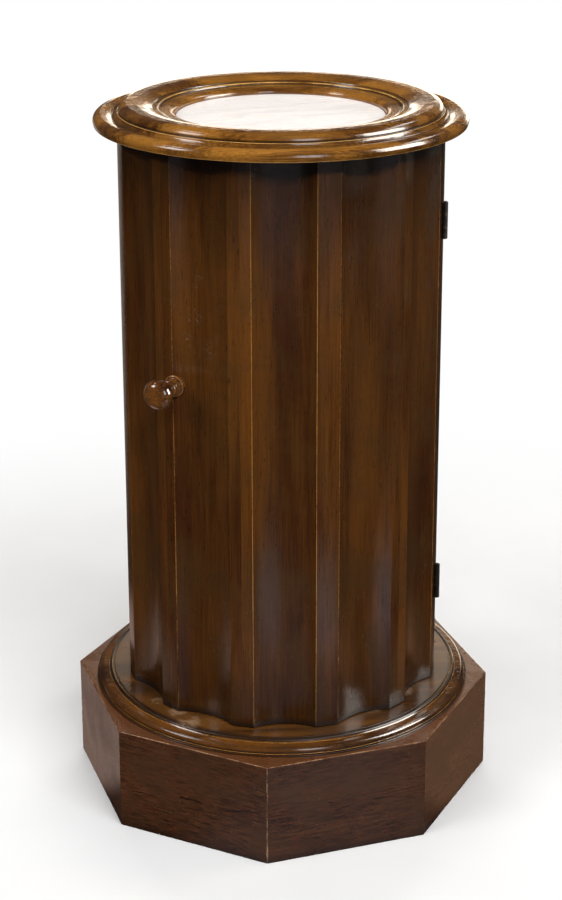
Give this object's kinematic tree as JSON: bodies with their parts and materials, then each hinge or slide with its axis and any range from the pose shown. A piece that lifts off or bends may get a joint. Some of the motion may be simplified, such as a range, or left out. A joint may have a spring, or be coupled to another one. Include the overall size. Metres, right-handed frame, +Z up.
{
  "type": "pot cupboard",
  "caption": "Round bedside pot cupboard of fluted dark wood on an octagonal plinth, with a curved hinged door, a turned latch knob, a shelf and an inset marble top.",
  "frame": {"origin": "on the floor, at the middle of the plinth and on the axis of the round body", "axes": "+Z up along the body's axis; the front of the plinth faces -Y; +X is to the viewer's right, on the side of the hinges"},
  "size_m": [0.418, 0.418, 0.75],
  "materials": {
    "plinth_mahogany": "worn french polish, grain lying flat",
    "column_mahogany": "dark french polish, upright grain",
    "top_mahogany": "glossy french polish",
    "knob_mahogany": "glossy french polish",
    "inside_pine": "bare aged softwood",
    "marble": "polished white marble with faint grey veins",
    "old_brass": "tarnished",
    "iron": "dull"
  },
  "bodies": {
    "carcase": {"plinth_board_1": "plinth_mahogany", "plinth_board_2": "plinth_mahogany", "plinth_board_3": "plinth_mahogany", "plinth_board_4": "plinth_mahogany", "plinth_board_5": "plinth_mahogany", "plinth_board_6": "plinth_mahogany", "plinth_board_7": "plinth_mahogany", "plinth_board_8": "plinth_mahogany", "plinth_deck": "inside_pine", "plinth_glue_blocks": "inside_pine", "turned_base": "column_mahogany", "base_screws": "iron", "cupboard_floor": "inside_pine", "carcase_stave_1": "column_mahogany", "carcase_stave_2": "column_mahogany", "carcase_stave_3": "column_mahogany", "carcase_stave_4": "column_mahogany", "carcase_stave_5": "column_mahogany", "carcase_stave_6": "column_mahogany", "carcase_stave_7": "column_mahogany", "carcase_stave_8": "column_mahogany", "shelf": "inside_pine", "shelf_bearer_1": "inside_pine", "shelf_bearer_2": "inside_pine", "shelf_bearer_3": "inside_pine", "shelf_bearer_4": "inside_pine", "door_stop_upper": "inside_pine", "door_stop_lower": "inside_pine", "cupboard_ceiling": "inside_pine", "top_moulding": "top_mahogany", "marble_top": "marble", "top_screws": "iron", "hinge_lower_body_leaf": "old_brass", "hinge_lower_pin": "old_brass", "hinge_upper_body_leaf": "old_brass", "hinge_upper_pin": "old_brass", "hinge_screws_body": "old_brass", "latch_keeper": "old_brass", "keeper_screws": "old_brass"},
    "door": {"door_stave_1": "column_mahogany", "door_stave_2": "column_mahogany", "door_stave_3": "column_mahogany", "door_stave_4": "column_mahogany", "door_ledge_lower": "inside_pine", "door_ledge_upper": "inside_pine", "ledge_screws": "iron", "hinge_lower_door_leaf": "old_brass", "hinge_upper_door_leaf": "old_brass", "hinge_screws_door": "old_brass", "latch_guide_plate": "old_brass", "guide_plate_screws": "old_brass"},
    "latch": {"door_knob": "knob_mahogany", "latch_spindle": "iron", "latch_tongue": "old_brass", "latch_nut": "iron"}
  },
  "joints": [
    {"name": "door_hinge", "type": "hinge", "parent": "carcase", "child": "door", "pos_m": [0.14482, -0.09261, 0.4335], "axis": [0, 0, 1], "range_deg": [0, 120]},
    {"name": "knob_turn", "type": "hinge", "parent": "door", "child": "latch", "pos_m": [-0.13912, -0.08641, 0.4865], "axis": [0.7385, 0.6743, 0], "range_deg": [0, 90]}
  ]
}
